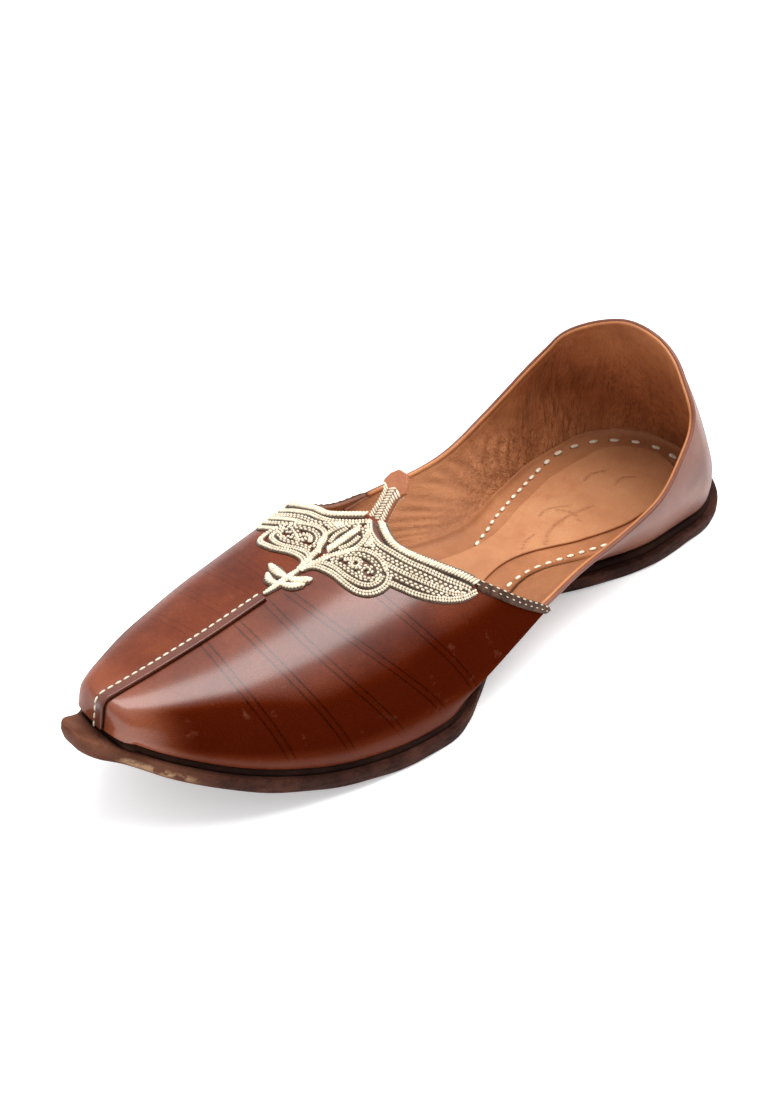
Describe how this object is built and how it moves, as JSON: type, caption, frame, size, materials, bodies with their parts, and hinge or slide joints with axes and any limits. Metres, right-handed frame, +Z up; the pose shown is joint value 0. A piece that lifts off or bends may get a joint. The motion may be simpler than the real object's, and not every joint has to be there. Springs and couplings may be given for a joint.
{
  "type": "mojari shoe",
  "caption": "Flat leather slip-on shoe with a raised toe seam, an embroidered throat with a small upright tab, and a high open heel collar.",
  "frame": {"origin": "on the floor, under the middle of the shoe's length and width", "axes": "+X from the heel to the toe, +Y to the shoe's left, +Z up"},
  "size_m": [0.29, 0.1, 0.0794],
  "materials": {
    "outsole": "dark reddish-brown sole leather",
    "midsole": "nearly black stitched leather edge",
    "upper": "burnished red-brown leather",
    "insole": "plain brown leather",
    "sock": "tan leather",
    "toe_seam": "burnished red-brown leather",
    "throat_embroidery": "cream thread with dark outlines",
    "throat_binding": "dark grey-brown edge leather",
    "collar_piping": "rolled tan lining leather",
    "throat_tab": "brown leather"
  },
  "bodies": {
    "root": {"outsole": "outsole", "midsole": "midsole", "upper": "upper", "insole": "insole", "sock": "sock", "toe_seam": "toe_seam", "throat_embroidery": "throat_embroidery", "throat_binding_near": "throat_binding", "throat_binding_far": "throat_binding", "collar_piping": "collar_piping", "throat_tab": "throat_tab"}
  },
  "joints": []
}
